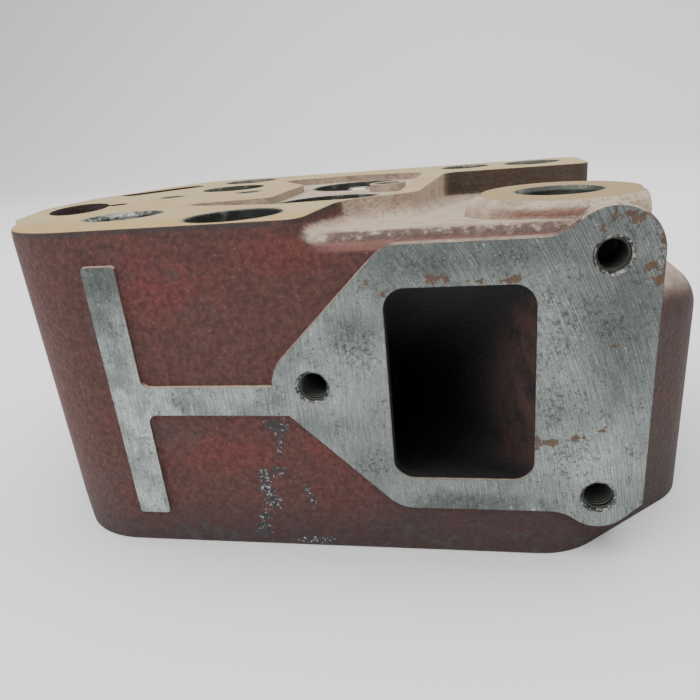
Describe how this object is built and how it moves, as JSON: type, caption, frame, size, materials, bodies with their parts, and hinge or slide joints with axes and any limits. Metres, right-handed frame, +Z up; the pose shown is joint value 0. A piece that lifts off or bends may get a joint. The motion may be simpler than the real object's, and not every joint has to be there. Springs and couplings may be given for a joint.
{
  "type": "cylinder head",
  "caption": "Cast-iron cylinder head of a water-cooled single-cylinder diesel, with sprung valves, milled port flanges and an injector sleeve.",
  "frame": {"origin": "on the cylinder face, on the cylinder axis", "axes": "+Z up from the cylinder face to the rocker side, -Y out of the intake flange, +X towards the low shelf"},
  "size_m": [0.22, 0.159, 0.0945],
  "materials": {
    "primed_iron": "sand-cast iron in dull red-brown primer, milled faces left bare",
    "sleeve_brass": "turned, dull",
    "seal_rubber": "matt moulded",
    "washer_copper": "annealed copper, dull",
    "plug_steel": "pressed, zinc plated",
    "gallery_plug_steel": "turned, oiled",
    "seat_alloy": "ground",
    "guide_iron": "turned grey iron",
    "washer_steel": "hardened, dark",
    "spring_steel": "shot-peened, oiled",
    "intake_valve_steel": "ground stem, turned head",
    "exhaust_valve_steel": "ground stem, turned head",
    "retainer_steel": "turned, dark",
    "collet_steel": "hardened, bright"
  },
  "bodies": {
    "head": {"head_casting": "primed_iron", "injector_sleeve": "sleeve_brass", "injector_sleeve_ring": "seal_rubber", "injector_seat_washer": "washer_copper", "core_plugs": "plug_steel", "gallery_plug": "gallery_plug_steel", "intake_seat_insert": "seat_alloy", "intake_guide": "guide_iron", "intake_stem_seal": "seal_rubber", "intake_spring_washer": "washer_steel", "intake_outer_spring": "spring_steel", "intake_inner_spring": "spring_steel", "exhaust_seat_insert": "seat_alloy", "exhaust_guide": "guide_iron", "exhaust_stem_seal": "seal_rubber", "exhaust_spring_washer": "washer_steel", "exhaust_outer_spring": "spring_steel", "exhaust_inner_spring": "spring_steel"},
    "intake_valve_train": {"intake_valve": "intake_valve_steel", "intake_retainer": "retainer_steel", "intake_collets": "collet_steel"},
    "exhaust_valve_train": {"exhaust_valve": "exhaust_valve_steel", "exhaust_retainer": "retainer_steel", "exhaust_collets": "collet_steel"}
  },
  "joints": [
    {"name": "intake_lift", "type": "slide", "parent": "head", "child": "intake_valve_train", "axis": [0, 0, -1], "range_m": [0, 0.0105], "stiffness_N_per_m": 9000, "springref_m": -0.01, "deforming": ["intake_outer_spring", "intake_inner_spring"]},
    {"name": "exhaust_lift", "type": "slide", "parent": "head", "child": "exhaust_valve_train", "axis": [0, 0, -1], "range_m": [0, 0.01], "stiffness_N_per_m": 9000, "springref_m": -0.01, "deforming": ["exhaust_outer_spring", "exhaust_inner_spring"]}
  ]
}
